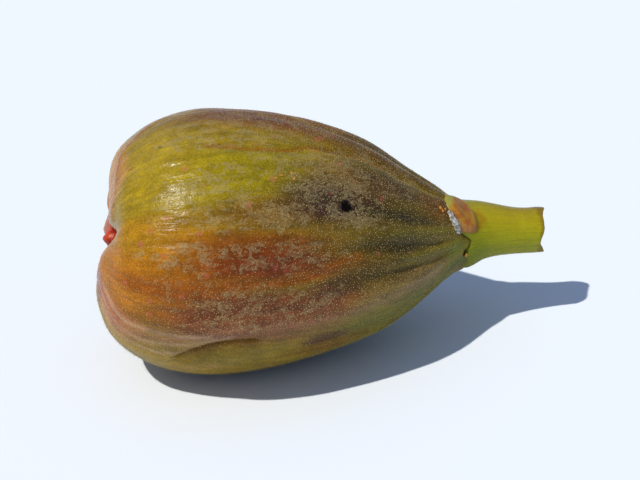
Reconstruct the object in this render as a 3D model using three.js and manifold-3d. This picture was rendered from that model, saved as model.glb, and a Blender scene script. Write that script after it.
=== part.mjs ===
// A fresh fig lying on its side, as picked: the pear-shaped fruit, its short cut stalk, the three scale
// leaves where the two meet, and the beads of pulp in the split eye. It grew as one piece, so it is one
// closed solid.
// Millimetres, +Z up. The eye points to -X and the stalk to +X. The fig rests on z = 0 on the small flat
// spot that its own weight presses into the belly, and the origin is under the middle of its box.
import * as THREE from "three";
import { mergeVertices } from "three/addons/utils/BufferGeometryUtils.js";
import Module from "manifold-3d";

const { degToRad, lerp, smoothstep } = THREE.MathUtils;

// Sizes that drive the rest
const LENGTH = 74.4; // from the eye end to the cut end of the stalk, along the axis
const BELLY_RADIUS = 22.3; // at the widest ring
const COLUMNS = 80; // points round the fig
// Rings along the outline, closer where the form is finer: [share of the outline's length, rings to there]
const RING_BANDS = [
  [0.2, 14], // eye and shoulder
  [0.62, 16], // belly
  [0.8, 8], // neck
  [0.9, 13], // scale leaves
  [1, 4], // stalk
];

// The half outline, from the middle of the eye over the shoulder, belly and neck to the rim of the cut:
// [share of LENGTH, share of BELLY_RADIUS]
const OUTLINE = [
  [0.046, 0],
  [0.039, 0.07],
  [0.02, 0.18],
  [0.01, 0.33],
  [0.018, 0.5],
  [0.041, 0.683],
  [0.084, 0.82],
  [0.151, 0.933],
  [0.236, 0.99],
  [0.327, 0.984],
  [0.42, 0.93],
  [0.512, 0.845],
  [0.604, 0.727],
  [0.68, 0.572],
  [0.755, 0.396],
  [0.808, 0.262],
  [0.869, 0.217],
  [0.939, 0.183],
  [0.995, 0.172],
];

// Angles are in degrees round the axis: 0 is the top, 90 the front (-Y), 180 the bottom and 270 the back,
// before the fig rolls a little to the front. Lengths called along are measured along the axis from the
// eye end.
const ROLLED = 4;

// The soft fruit is a little wider than it is tall
const WIDER = 1.03;
const LOWER = 0.975;

// The stalk bends a little up and to the front, and the neck before it hangs a little low
const BEND = { from: 51, up: 0.75, front: 0.8 };
const NECK_SAG = { at: 50, deep: 0.5, width: 7.5 };

// The end round the eye leans: its lower lobes stand out further than its upper ones
const EYE_LEAN = { amount: 1.35, lowest: 142, fades: [0.5, 11], inner: 6 };

// The upper back lobe has a fuller shoulder: its middle, height and half sizes round and along
const SHOULDER = { at: 338, arc: 14, high: 0.75, halfRound: 7, halfArc: 4.5 };

// Creases that part the lobes round the split eye
const EYE_CREASES = [
  { at: 50, deep: 2.1 },
  { at: 168, deep: 1.3 },
  { at: 236, deep: 2.2 },
  { at: 274, deep: 1.3 },
  { at: 311, deep: 1.6 },
];
const EYE_CREASE = { width: 1, opens: 0.08, fades: [6, 17] };

// Creases that run from the stalk down the neck and fade out on the belly
const NECK_CREASES = [
  { at: 12, deep: 0.45 },
  { at: 43, deep: 0.45 },
  { at: 65, deep: 0.55 },
  { at: 80, deep: 0.45 },
  { at: 118, deep: 0.45 },
  { at: 140, deep: 0.4 },
  { at: 163, deep: 0.5 },
  { at: 187, deep: 0.4 },
  { at: 210, deep: 0.55 },
  { at: 236, deep: 0.45 },
  { at: 258, deep: 0.5 },
  { at: 283, deep: 0.4 },
  { at: 305, deep: 0.5 },
  { at: 331, deep: 0.45 },
  { at: 352, deep: 0.4 },
];
const NECK_CREASE = { width: 4.6, starts: [14, 46], ends: [52, 60] };

// A long wavy crease over the top of the belly, which nears the top on its way to the neck
const TOP_CREASE = { from: 19.5, to: 9, turns: [26, 44], wave: 1, deep: 0.45, width: 3.2 };
const TOP_CREASE_REACH = { starts: [10, 20], ends: [50, 58] };

// The rib along the lower front, and the fold that tucks in under it near the eye: its side towards the
// rib is steep, and the other side comes up slowly
const RIB = { at: 98, neckAt: 86, high: 0.75, width: 7, starts: [4, 14], turns: [28, 58], ends: [48, 58] };
const FOLD = { from: 134, to: 105, start: 9, end: 30, deep: 1.1, steep: 4, slow: 10 };

// The three low scale leaves at the top of the stalk, set askew: each one's middle, half sizes and height
const SCALES = [
  { at: 24, high: 0.75 },
  { at: 172, high: 0.4 },
  { at: 261, high: 0.5 },
];
const SCALE = { along: 59.8, halfAlong: 2.6, halfRound: 3.6, skew: 0.36 };

// Beads of pulp that fill the split eye: [along, up, front, radius]
const PULP_BEADS = [
  [2.5, 2.1, 0.8, 1.45],
  [2.4, -0.2, 1.3, 1.35],
  [2.7, 1.0, -1.6, 1.4],
  [2.8, -1.5, -1.1, 1.4],
  [2.6, 1.1, 3.0, 1.2],
  [3.0, 3.6, -0.6, 1.1],
  [2.9, -2.9, 0.6, 1.2],
];
const BEAD_STRETCH = 1.25; // a bead is longer along the axis than it is wide

// The small round hole that an insect left in the upper front
const HOLE = { along: 37.5, at: 44.5, radius: 0.9, deep: 2.2 };

// The pose: how far the stalk end dips, and how far the belly is pressed flat
const DIP = 6;
const PRESSED = 0.75;

const wasm = await Module();
wasm.setup();

const bell = (x, width) => Math.exp(-((x / width) ** 2));
const between = (x, [low, high]) => smoothstep(x, low, high);
const fadeOut = (x, [low, high]) => 1 - smoothstep(x, low, high);

// The smallest turn from one angle to another, in degrees, from -180 to 180
function turn(angle, line) {
  return ((((angle - line + 180) % 360) + 360) % 360) - 180;
}

// Deepest first: creases that meet don't add up
function eyeCrease(arc, radius, angle) {
  const width = EYE_CREASE.width + EYE_CREASE.opens * arc;
  const depths = EYE_CREASES.map(
    ({ at, deep }) => deep * bell(degToRad(turn(angle, at)) * radius, width),
  );
  return Math.max(...depths) * fadeOut(arc, EYE_CREASE.fades);
}

function neckCrease(along, angle) {
  const reach = between(along, NECK_CREASE.starts) * fadeOut(along, NECK_CREASE.ends);
  const depths = NECK_CREASES.map(
    ({ at, deep }) => deep * bell(turn(angle, at), NECK_CREASE.width),
  );
  return Math.max(...depths) * reach;
}

function topCrease(along, angle) {
  const { from, to, turns, wave, deep, width } = TOP_CREASE;
  const line = lerp(from, to, between(along, turns)) + wave * Math.sin(along / 4);
  const reach = between(along, TOP_CREASE_REACH.starts) * fadeOut(along, TOP_CREASE_REACH.ends);
  return deep * bell(turn(angle, line), width) * reach;
}

function rib(along, angle) {
  const line = lerp(RIB.at, RIB.neckAt, between(along, RIB.turns));
  const reach = between(along, RIB.starts) * fadeOut(along, RIB.ends);
  return RIB.high * bell(turn(angle, line), RIB.width) * reach;
}

function fold(along, angle) {
  const share = (along - FOLD.start) / (FOLD.end - FOLD.start);
  if (share <= 0 || share >= 1) return 0;
  const line = FOLD.to + (FOLD.from - FOLD.to) * (1 - share) ** 4;
  const reach = smoothstep(share, 0, 0.18) * (1 - smoothstep(share, 0.35, 1));
  const off = turn(angle, line);
  return FOLD.deep * bell(off, off < 0 ? FOLD.steep : FOLD.slow) * reach;
}

// A scale leaf is a low oval cushion with a steep rim
function scaleLeaf(along, radius, angle) {
  const heights = SCALES.map(({ at, high }) => {
    const round = degToRad(turn(angle, at)) * radius;
    const off = (along - SCALE.along - SCALE.skew * round) / SCALE.halfAlong;
    return high * fadeOut(Math.hypot(off, round / SCALE.halfRound), [0.6, 1.1]);
  });
  return Math.max(...heights);
}

function shoulder(arc, radius, angle) {
  const round = (degToRad(turn(angle, SHOULDER.at)) * radius) / SHOULDER.halfRound;
  const off = (arc - SHOULDER.arc) / SHOULDER.halfArc;
  return SHOULDER.high * bell(Math.hypot(round, off), 1);
}

// Slow swells that keep the belly from being a turned shape
function swell(along, angle) {
  const a = degToRad(angle);
  const reach = between(along, [3, 14]) * fadeOut(along, [46, 60]);
  return (
    reach *
    (0.22 * Math.sin(3 * a + along * 0.05) +
      0.16 * Math.sin(5 * a - along * 0.07 + 1.1) +
      0.12 * Math.sin(2 * a + along * 0.17 + 2.3))
  );
}

// The axis itself: straight through the belly, then bent up and forward along the stalk
function axisOffset(along) {
  const share = Math.max(0, (along - BEND.from) / (LENGTH - BEND.from));
  const sag = NECK_SAG.deep * bell(along - NECK_SAG.at, NECK_SAG.width);
  return { up: BEND.up * share ** 1.3 - sag, front: BEND.front * share ** 2 };
}

const outline = new THREE.SplineCurve(
  OUTLINE.map(([a, r]) => new THREE.Vector2(a * LENGTH, r * BELLY_RADIUS)),
);
outline.arcLengthDivisions = 800;
const OUTLINE_LENGTH = outline.getLength();

// A point of the skin, in the fig's own frame: x along the axis, y to the back and z up
function skinPoint(share, angle) {
  const { x: along, y: radius } = outline.getPointAt(share);
  const tangent = outline.getTangentAt(share);
  const arc = share * OUTLINE_LENGTH;
  const out =
    rib(along, angle) +
    swell(along, angle) +
    shoulder(arc, radius, angle) +
    scaleLeaf(along, radius, angle) -
    eyeCrease(arc, radius, angle) -
    neckCrease(along, angle) -
    topCrease(along, angle) -
    fold(along, angle);
  const lean =
    EYE_LEAN.amount *
    Math.cos(degToRad(angle - EYE_LEAN.lowest)) *
    fadeOut(along, EYE_LEAN.fades) *
    Math.min(1, radius / EYE_LEAN.inner);
  const x = along - tangent.y * out - lean;
  const r = Math.max(0, radius + tangent.x * out);
  return fromAxis(x, r, angle);
}

// A point at a distance from the bent axis, in a direction round it
function fromAxis(along, radius, angle) {
  const offset = axisOffset(along);
  const rolled = degToRad(angle + ROLLED);
  return new THREE.Vector3(
    along,
    -WIDER * radius * Math.sin(rolled) - offset.front,
    LOWER * radius * Math.cos(rolled) + offset.up,
  );
}

// Where each ring lies, as a share of the outline's length
function ringShares() {
  const shares = [];
  let low = 0;
  for (const [high, rings] of RING_BANDS) {
    for (let i = 1; i <= rings; i++) shares.push(low + ((high - low) * i) / rings);
    low = high;
  }
  return shares;
}

// The skin, from the pole in the eye ring by ring to the rim of the cut and the pole in the cut
function skinGeometry() {
  const rings = ringShares();
  const points = [skinPoint(0, 0)];
  for (const share of rings)
    for (let column = 0; column < COLUMNS; column++)
      points.push(skinPoint(share, (360 * column) / COLUMNS));
  points.push(fromAxis(LENGTH, 0, 0));

  const at = (row, column) => 1 + (row - 1) * COLUMNS + (column % COLUMNS);
  const lastPoint = points.length - 1;
  const triangles = [];
  for (let column = 0; column < COLUMNS; column++) {
    triangles.push(0, at(1, column + 1), at(1, column));
    for (let row = 1; row < rings.length; row++) {
      const [a, b] = [at(row, column), at(row, column + 1)];
      const [c, d] = [at(row + 1, column), at(row + 1, column + 1)];
      triangles.push(a, b, c, b, d, c);
    }
    triangles.push(at(rings.length, column), at(rings.length, column + 1), lastPoint);
  }
  const geometry = new THREE.BufferGeometry().setFromPoints(points);
  geometry.setIndex(triangles);
  return geometry;
}

// The point of the plain outline at a place along the axis, moved out by some millimetres
function skinPointAlong(along, angle, out) {
  let low = 0.3;
  let high = 1;
  for (let step = 0; step < 30; step++) {
    const middle = (low + high) / 2;
    if (outline.getPointAt(middle).x < along) low = middle;
    else high = middle;
  }
  return fromAxis(along, outline.getPointAt(low).y + out, angle);
}

function beadGeometry([along, up, front, radius]) {
  return new THREE.SphereGeometry(radius, 10, 7)
    .rotateZ(Math.PI / 2)
    .scale(BEAD_STRETCH, 1, 1)
    .translate(along, -front, up);
}

// A short drill that points at the axis from outside the skin
function holeGeometry() {
  const mouth = skinPointAlong(HOLE.along, HOLE.at, 1);
  const floor = skinPointAlong(HOLE.along, HOLE.at, -HOLE.deep);
  const way = mouth.clone().sub(floor);
  const geometry = new THREE.CylinderGeometry(HOLE.radius, HOLE.radius * 0.8, way.length(), 14);
  const turned = new THREE.Quaternion().setFromUnitVectors(
    new THREE.Vector3(0, 1, 0),
    way.clone().normalize(),
  );
  const middle = mouth.add(floor).multiplyScalar(0.5);
  return geometry.applyQuaternion(turned).translate(middle.x, middle.y, middle.z);
}

// A closed geometry as a solid that can be joined and cut
function solidOf(geometry) {
  for (const name of Object.keys(geometry.attributes))
    if (name !== "position") geometry.deleteAttribute(name);
  const merged = mergeVertices(geometry, 1e-4);
  return new wasm.Manifold(
    new wasm.Mesh({
      numProp: 3,
      vertProperties: new Float32Array(merged.attributes.position.array),
      triVerts: new Uint32Array(merged.index.array),
    }),
  );
}

function geometryOf(solid) {
  const mesh = solid.getMesh();
  return new THREE.BufferGeometry()
    .setAttribute("position", new THREE.BufferAttribute(mesh.vertProperties, 3))
    .setIndex(new THREE.BufferAttribute(mesh.triVerts, 1));
}

// Lays the fig on its side: dips the stalk end, presses the lowest skin flat and centres the box
function layDown(geometry) {
  geometry.rotateY(degToRad(DIP));
  geometry.computeBoundingBox();
  geometry.translate(0, 0, -geometry.boundingBox.min.z - PRESSED);
  const position = geometry.attributes.position;
  for (let i = 0; i < position.count; i++) position.setZ(i, Math.max(0, position.getZ(i)));
  geometry.computeBoundingBox();
  const middle = geometry.boundingBox.getCenter(new THREE.Vector3());
  geometry.translate(-middle.x, -middle.y, 0);
  return geometry;
}

let solid = solidOf(skinGeometry());
for (const bead of PULP_BEADS) solid = solid.add(solidOf(beadGeometry(bead)));
solid = solid.subtract(solidOf(holeGeometry()));

const geometry = layDown(geometryOf(solid));
geometry.computeVertexNormals();
const skin = new THREE.MeshStandardMaterial({ color: 0x86682c, roughness: 0.5, metalness: 0 });
const fig = new THREE.Mesh(geometry, skin);
fig.name = "fig";

const group = new THREE.Group();
group.add(fig);
export default group;
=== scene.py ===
# %% [markdown]
# # A fresh fig, dressed
# The fig lies on its side on a pale surface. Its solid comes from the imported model. This lesson puts a
# finer skin over that solid, with the same form, and adds what a fig shows from a hand's width away:
# wrinkles, pores, hairs, scurf, the beads of pulp in its split eye and the scale leaf at its stalk.
# Lengths in the form are in millimetres, as a grower would measure them, and are turned into Blender's
# metres once, at the end.

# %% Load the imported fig
import math

import bpy
import numpy as np
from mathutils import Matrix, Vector


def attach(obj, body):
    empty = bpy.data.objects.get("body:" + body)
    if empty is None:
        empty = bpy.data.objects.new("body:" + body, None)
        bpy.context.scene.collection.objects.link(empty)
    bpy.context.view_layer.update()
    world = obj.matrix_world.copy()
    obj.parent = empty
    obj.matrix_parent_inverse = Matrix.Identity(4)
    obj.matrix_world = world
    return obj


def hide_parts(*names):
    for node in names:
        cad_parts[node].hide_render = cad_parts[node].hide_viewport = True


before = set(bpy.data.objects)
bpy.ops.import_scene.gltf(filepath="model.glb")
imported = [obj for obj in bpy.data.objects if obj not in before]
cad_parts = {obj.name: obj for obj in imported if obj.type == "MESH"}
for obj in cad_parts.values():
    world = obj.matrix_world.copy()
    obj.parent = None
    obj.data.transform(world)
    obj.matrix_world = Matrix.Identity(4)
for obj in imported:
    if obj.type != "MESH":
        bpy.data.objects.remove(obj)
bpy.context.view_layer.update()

MM = 0.001

# %% [markdown]
# ## The camera
# The view is set first, because it says which details show. The photo looks down on the fig by about 26
# degrees and a little from the eye end. A long lens from a quarter of a metre gives the mild perspective
# of a close-up. The camera could be keyed by hand in the viewport. Working it out from an aim point, two
# angles and a distance keeps it exact, and easy to read back.

# %% Place the camera
AIM = Vector((-0.05, -0.45, 19.07)) * MM
AZIMUTH, ELEVATION, ROLL = (math.radians(a) for a in (-10, 26, -2.54))
CAMERA_DISTANCE = 251.83 * MM


def towards(azimuth, elevation):
    """The direction from the fig to something: azimuth 0 is the front, elevation is above the floor."""
    level = math.cos(elevation)
    return Vector((math.sin(azimuth) * level, -math.cos(azimuth) * level, math.sin(elevation)))


back = towards(AZIMUTH, ELEVATION)
camera_data = bpy.data.cameras.new("camera")
camera_data.lens = 85
camera_data.sensor_width = 36
camera_data.clip_start = 0.01
camera = bpy.data.objects.new("camera", camera_data)
bpy.context.collection.objects.link(camera)
camera.location = AIM + back * CAMERA_DISTANCE
facing = (-back).to_track_quat("-Z", "Y").to_matrix().to_4x4()
camera.rotation_euler = (facing @ facing.Rotation(ROLL, 4, "Z")).to_euler()
bpy.context.scene.camera = camera
print("camera at", [round(v / MM, 1) for v in camera.location], "mm")

# %% [markdown]
# ## Light and floor
# A single key light stands high on the left, in front of the fig, so that the shadow falls to the right.
# Its disc is about a degree wide, so the shadow is crisp and softens only a little with distance. A pale blue
# surround fills the shadow. A ring of lamps could do the same, but one key and one fill are easier to
# judge a skin by.

# %% Light the set
KEY_AZIMUTH, KEY_ELEVATION = math.radians(-60.5), math.radians(56.8)
KEY_SOFTNESS = math.radians(1.2)
key_data = bpy.data.lights.new("key", "SUN")
key_data.energy = 3.35
key_data.color = (1.0, 0.99, 0.94)
key_data.angle = KEY_SOFTNESS
key = bpy.data.objects.new("key", key_data)
bpy.context.collection.objects.link(key)
key.rotation_euler = towards(KEY_AZIMUTH, KEY_ELEVATION).to_track_quat("Z", "Y").to_euler()

world = bpy.data.worlds.new("surround")
bpy.context.scene.world = world
world.use_nodes = True
surround = world.node_tree.nodes["Background"]
surround.inputs["Color"].default_value = (0.46, 0.63, 1.0, 1)
surround.inputs["Strength"].default_value = 0.43
bpy.context.scene.view_settings.view_transform = "Standard"
print("key light from", [round(math.degrees(a), 1) for a in (KEY_AZIMUTH, KEY_ELEVATION)], "degrees")

# %% [markdown]
# ## The form
# Under its wrinkles the fig is a half outline turned round a slightly bent axis. Everything that isn't
# round about it, such as lobes, creases and the rib, is a small height added along the skin's normal.
# The values are the solid's own, so that the fine skin lies on it. It could be sculpted, but a formula
# gives every later step a way to ask where on the fig a point is.

# %% The sizes of the solid, in mm and degrees
LENGTH = 74.4
BELLY_RADIUS = 22.3
OUTLINE = np.array([
    (0.046, 0), (0.039, 0.07), (0.02, 0.18), (0.01, 0.33), (0.018, 0.5), (0.041, 0.683),
    (0.084, 0.82), (0.151, 0.933), (0.236, 0.99), (0.327, 0.984), (0.42, 0.93), (0.512, 0.845),
    (0.604, 0.727), (0.68, 0.572), (0.755, 0.396), (0.808, 0.262), (0.869, 0.217), (0.939, 0.183),
    (0.995, 0.172),
]) * (LENGTH, BELLY_RADIUS)
WIDER, LOWER = 1.03, 0.975
BEND = {"from": 51, "up": 0.75, "front": 0.8}
NECK_SAG = {"at": 50, "deep": 0.5, "width": 7.5}
EYE_LEAN = {"amount": 1.35, "lowest": 142, "fades": (0.5, 11), "inner": 6}
SHOULDER = {"at": 338, "arc": 14, "high": 0.75, "half_round": 7, "half_arc": 4.5}
EYE_CREASES = [(50, 2.1), (168, 1.3), (236, 2.2), (274, 1.3), (311, 1.6)]  # angle, depth
EYE_CREASE = {"width": 1, "opens": 0.08, "fades": (6, 17)}
NECK_CREASES = [
    (12, 0.45), (43, 0.45), (65, 0.55), (80, 0.45), (118, 0.45), (140, 0.4), (163, 0.5), (187, 0.4),
    (210, 0.55), (236, 0.45), (258, 0.5), (283, 0.4), (305, 0.5), (331, 0.45), (352, 0.4),
]
NECK_CREASE = {"width": 4.6, "starts": (14, 46), "ends": (52, 60)}
TOP_CREASE = {"from": 19.5, "to": 9, "turns": (26, 44), "wave": 1, "deep": 0.45, "width": 3.2}
TOP_CREASE_REACH = {"starts": (10, 20), "ends": (50, 58)}
RIB = {
    "at": 98, "neck_at": 86, "high": 0.75, "width": 7, "starts": (4, 14), "turns": (28, 58),
    "ends": (48, 58),
}
FOLD = {"from": 134, "to": 105, "start": 9, "end": 30, "deep": 1.1, "steep": 4, "slow": 10}
SCALES = [(24, 0.75), (172, 0.4), (261, 0.5)]  # angle, height
SCALE = {"along": 59.8, "half_along": 2.6, "half_round": 3.6, "skew": 0.36}
HOLE = {"along": 37.5, "at": 44.5, "radius": 0.9, "deep": 2.2}
ROLLED = 4
DIP = 6
PRESSED = 0.75
print("outline of", len(OUTLINE), "points,", len(NECK_CREASES), "creases in the neck")

# %% The small curves that the form is made of
def smooth(x, low, high):
    """0 below low, 1 above high, and a soft step between them."""
    t = np.clip((x - low) / (high - low), 0, 1)
    return t * t * (3 - 2 * t)


def bell(x, width):
    return np.exp(-((x / width) ** 2))


def between(x, ends):
    return smooth(x, *ends)


def fade_out(x, ends):
    return 1 - smooth(x, *ends)


def turn(angle, line):
    """The smallest turn between two angles, from -180 to 180 degrees."""
    return (angle - line + 180) % 360 - 180


def outline_table(samples=4000):
    """The outline as a Catmull-Rom curve: its arc length, points and directions."""
    t = np.linspace(0, len(OUTLINE) - 1, samples)
    knot = np.minimum(t.astype(int), len(OUTLINE) - 2)
    w = (t - knot)[:, None]
    last = len(OUTLINE) - 1
    p0, p1 = OUTLINE[np.maximum(knot - 1, 0)], OUTLINE[knot]
    p2, p3 = OUTLINE[knot + 1], OUTLINE[np.minimum(knot + 2, last)]
    v0, v1 = (p2 - p0) / 2, (p3 - p1) / 2
    points = (2 * p1 - 2 * p2 + v0 + v1) * w**3 + (3 * p2 - 3 * p1 - 2 * v0 - v1) * w**2 + v0 * w + p1
    steps = np.diff(points, axis=0)
    arc = np.concatenate([[0], np.cumsum(np.hypot(*steps.T))])
    directions = np.gradient(points, axis=0)
    directions /= np.linalg.norm(directions, axis=1)[:, None]
    return arc, points, directions


ARC, OUTLINE_POINTS, OUTLINE_WAYS = outline_table()
print("outline is", round(ARC[-1], 2), "mm long")

# %% Lobes, creases, rib and fold as heights
def eye_crease(arc, radius, angle):
    width = EYE_CREASE["width"] + EYE_CREASE["opens"] * arc
    depths = [deep * bell(np.radians(turn(angle, at)) * radius, width) for at, deep in EYE_CREASES]
    return np.max(depths, axis=0) * fade_out(arc, EYE_CREASE["fades"])


def neck_crease(along, angle, width=NECK_CREASE["width"]):
    reach = between(along, NECK_CREASE["starts"]) * fade_out(along, NECK_CREASE["ends"])
    return np.max([deep * bell(turn(angle, at), width) for at, deep in NECK_CREASES], axis=0) * reach


def top_crease(along, angle, width=TOP_CREASE["width"]):
    nearing = (TOP_CREASE["to"] - TOP_CREASE["from"]) * between(along, TOP_CREASE["turns"])
    line = TOP_CREASE["from"] + nearing + TOP_CREASE["wave"] * np.sin(along / 4)
    reach = between(along, TOP_CREASE_REACH["starts"]) * fade_out(along, TOP_CREASE_REACH["ends"])
    return TOP_CREASE["deep"] * bell(turn(angle, line), width) * reach


def rib(along, angle):
    line = RIB["at"] + (RIB["neck_at"] - RIB["at"]) * between(along, RIB["turns"])
    reach = between(along, RIB["starts"]) * fade_out(along, RIB["ends"])
    return RIB["high"] * bell(turn(angle, line), RIB["width"]) * reach


def fold(along, angle, steep=FOLD["steep"]):
    share = np.clip((along - FOLD["start"]) / (FOLD["end"] - FOLD["start"]), 0, 1)
    line = FOLD["to"] + (FOLD["from"] - FOLD["to"]) * (1 - share) ** 4
    reach = smooth(share, 0, 0.18) * (1 - smooth(share, 0.35, 1))
    off = turn(angle, line)
    return FOLD["deep"] * bell(off, np.where(off < 0, steep, FOLD["slow"])) * reach


def shoulder(arc, radius, angle):
    across = np.radians(turn(angle, SHOULDER["at"])) * radius / SHOULDER["half_round"]
    off = (arc - SHOULDER["arc"]) / SHOULDER["half_arc"]
    return SHOULDER["high"] * bell(np.hypot(across, off), 1)


def scale_leaf(along, radius, angle):
    heights = []
    for at, high in SCALES:
        across = np.radians(turn(angle, at)) * radius
        off = (along - SCALE["along"] - SCALE["skew"] * across) / SCALE["half_along"]
        heights.append(high * fade_out(np.hypot(off, across / SCALE["half_round"]), (0.6, 1.1)))
    return np.max(heights, axis=0)


def swell(along, angle):
    a = np.radians(angle)
    reach = between(along, (3, 14)) * fade_out(along, (46, 60))
    return reach * (
        0.22 * np.sin(3 * a + along * 0.05)
        + 0.16 * np.sin(5 * a - along * 0.07 + 1.1)
        + 0.12 * np.sin(2 * a + along * 0.17 + 2.3)
    )


print("deepest crease of the eye:", max(deep for _, deep in EYE_CREASES), "mm")

# %% From a place on the fig to a point in space
def from_axis(along, radius, angle):
    share = np.maximum(0, (along - BEND["from"]) / (LENGTH - BEND["from"]))
    sag = NECK_SAG["deep"] * bell(along - NECK_SAG["at"], NECK_SAG["width"])
    a = np.radians(angle + ROLLED)
    return np.stack([
        along + 0 * angle,
        -WIDER * radius * np.sin(a) - BEND["front"] * share**2,
        LOWER * radius * np.cos(a) + BEND["up"] * share**1.3 - sag,
    ], axis=-1)


def skin_point(share, angle, fine=None):
    """A point of the skin before it is laid down. fine is a function that adds small heights."""
    arc = share * ARC[-1]
    along, radius = (np.interp(arc, ARC, OUTLINE_POINTS[:, k]) for k in (0, 1))
    way_x, way_r = (np.interp(arc, ARC, OUTLINE_WAYS[:, k]) for k in (0, 1))
    out = (
        rib(along, angle) + swell(along, angle) + shoulder(arc, radius, angle)
        + scale_leaf(along, radius, angle) - eye_crease(arc, radius, angle)
        - neck_crease(along, angle) - top_crease(along, angle) - fold(along, angle)
    )
    if fine is not None:
        out = out + fine(radius, angle, arc)
    lean = (
        EYE_LEAN["amount"] * np.cos(np.radians(angle - EYE_LEAN["lowest"]))
        * fade_out(along, EYE_LEAN["fades"]) * np.minimum(1, radius / EYE_LEAN["inner"])
    )
    return from_axis(along - way_r * out - lean, np.maximum(0, radius + way_x * out), angle)


def grid(rings, columns, fine=None):
    share, angle = np.meshgrid(rings, 360 * np.arange(columns) / columns, indexing="ij")
    return skin_point(share, angle, fine)


print("widest half height:", round(float(grid(np.linspace(0, 1, 90), 80)[..., 2].max()), 2), "mm")

# %% Lay the fig on its side, as the solid lies
def dipped(points):
    c, s = math.cos(math.radians(DIP)), math.sin(math.radians(DIP))
    x, y, z = np.moveaxis(points, -1, 0)
    return np.stack([c * x + s * z, y, c * z - s * x], axis=-1)


plain = dipped(grid(np.linspace(0, 1, 300), 400)).reshape(-1, 3)
MIDDLE = (plain.min(axis=0) + plain.max(axis=0)) / 2
DROP = plain[:, 2].min() + PRESSED


def laid(points):
    placed = dipped(points) - (MIDDLE[0], MIDDLE[1], DROP)
    placed[..., 2] = np.maximum(placed[..., 2], 0)
    return placed


print("laid down, lowered by", round(float(DROP), 2), "mm")

# %% [markdown]
# ## Noise and a chart
# Wrinkles and colours both need noise that can be asked about many points at once, so a small lattice
# noise is written with numpy. The chart says where a point is on the skin: its arc from the eye in
# millimetres and its angle round the axis. It also holds two sets of points to feed the noise: one even
# in all directions, and one pulled out lengthwise, as the fruit's own fibres are.

# %% Smooth noise that answers for many points at once
NOISE_RNG = np.random.default_rng(7)
NOISE_ORDER = NOISE_RNG.permutation(512)
NOISE_WAYS = NOISE_RNG.normal(size=(512, 3))
NOISE_WAYS /= np.linalg.norm(NOISE_WAYS, axis=1)[:, None]


def soft_noise(points, size, seed=0):
    """About -1 to 1. size is the width of one blob of the noise, in mm."""
    p = np.asarray(points, dtype=float) / size + 31.7 * (seed + 1)
    cell = np.floor(p).astype(np.int64)
    part = p - cell
    ease = part**3 * (part * (part * 6 - 15) + 10)
    total = np.zeros(p.shape[:-1])
    for corner in np.ndindex(2, 2, 2):
        at = cell + corner
        key = NOISE_ORDER[at[..., 0] % 512]
        key = NOISE_ORDER[(key + at[..., 1]) % 512]
        key = NOISE_ORDER[(key + at[..., 2]) % 512]
        weight = np.prod(np.where(corner, ease, 1 - ease), axis=-1)
        total += weight * (NOISE_WAYS[key] * (part - corner)).sum(axis=-1)
    return total * 1.7


def rough_noise(points, size, seed=0, octaves=3):
    parts = [soft_noise(points, size / 2**k, seed + k) / 2**k for k in range(octaves)]
    return sum(parts) / sum(1 / 2**k for k in range(octaves))


print("noise at the origin:", round(float(soft_noise(np.zeros((1, 3)), 5)[0]), 3))

# %% The chart of the skin
LENGTHWISE = 6  # how much longer than wide the streaks are


class Chart:
    def __init__(self, arc, angle):
        self.arc, self.angle = arc, angle
        self.along, self.radius = (np.interp(arc, ARC, OUTLINE_POINTS[:, k]) for k in (0, 1))
        a = np.radians(angle)
        self.round_the_axis = np.stack([np.cos(a), np.sin(a)], axis=-1)
        across = self.round_the_axis * self.radius[..., None]
        self.spots = np.concatenate([across, self.along[..., None]], axis=-1)
        ribs = self.round_the_axis * BELLY_RADIUS * 0.8
        self.streaks = np.concatenate([ribs, arc[..., None] / LENGTHWISE], axis=-1)

    def line(self, knots, width):
        """1 on a line through the knots (arc, angle), and a bell of width mm beside it."""
        knots = np.array(knots, dtype=float)
        best = np.full(self.arc.shape, 1e9)
        scale = np.radians(1) * np.maximum(self.radius, 1)
        for (a0, v0), (a1, v1) in zip(knots[:-1], knots[1:]):
            px, py = self.arc - a0, turn(self.angle, v0) * scale
            qx, qy = a1 - a0, (v1 - v0) * scale
            t = np.clip((px * qx + py * qy) / np.maximum(qx**2 + qy**2, 1e-9), 0, 1)
            best = np.minimum(best, np.hypot(px - t * qx, py - t * qy))
        return bell(best, width)


print("the chart spans", round(float(ARC[-1]), 1), "mm by 360 degrees")

# %% [markdown]
# ## Fine relief
# Up close the skin has fine lengthwise veins, a shrivelled dent round the insect hole, a pale ridge on
# the upper shoulder and a torn edge where the neck meets the stalk. They are small heights on top of the
# form. A displacement texture could add them at render time, but as real vertices they can also be
# measured, and later cells can ask for them.

# %% Small heights over the form
# Pale streaks on the lower lobe. They are only painted, partly as painted sheen.
PALE_STREAKS_AND_SHEEN = [
    [(9, 106), (14, 116), (20, 118), (26, 111), (34, 101)], [(11, 118), (16, 126), (22, 124), (27, 117)],
    [(12, 128), (17, 134), (22, 132)], [(11, 98), (17, 108), (24, 106), (31, 101)],
]
SHOULDER_RIDGE = [(11, 36), (12.5, 24), (13.5, 14), (14.5, 4), (16, -5), (20, -13), (26, -20)]
TOP_LINE = [(31, 17), (38, 19.5), (44, 18.5), (49, 13), (60, 10.5), (66, 10)]
SIDE_LINE = [(27, 9), (32, 5), (36, 9), (39, 10)]
NECK_LINES = [
    [(53, 68), (58, 65), (64, 63), (68, 62)], [(57, 84), (64, 80), (67, 79)], [(24, 61), (34, 58), (46, 55)],
    [(26, 79), (38, 77), (50, 77)], [(22, 93), (32, 91), (44, 92)],
]
RIB_LINE = [(20, 113), (25, 109), (30, 100), (35, 97), (47, 97.5), (55, 95), (60, 92), (66, 89.5), (72, 93)]
ORANGE_STREAK = [(33, 78), (41, 78.5), (45, 78), (48.5, 76), (50.5, 73)]
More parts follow.
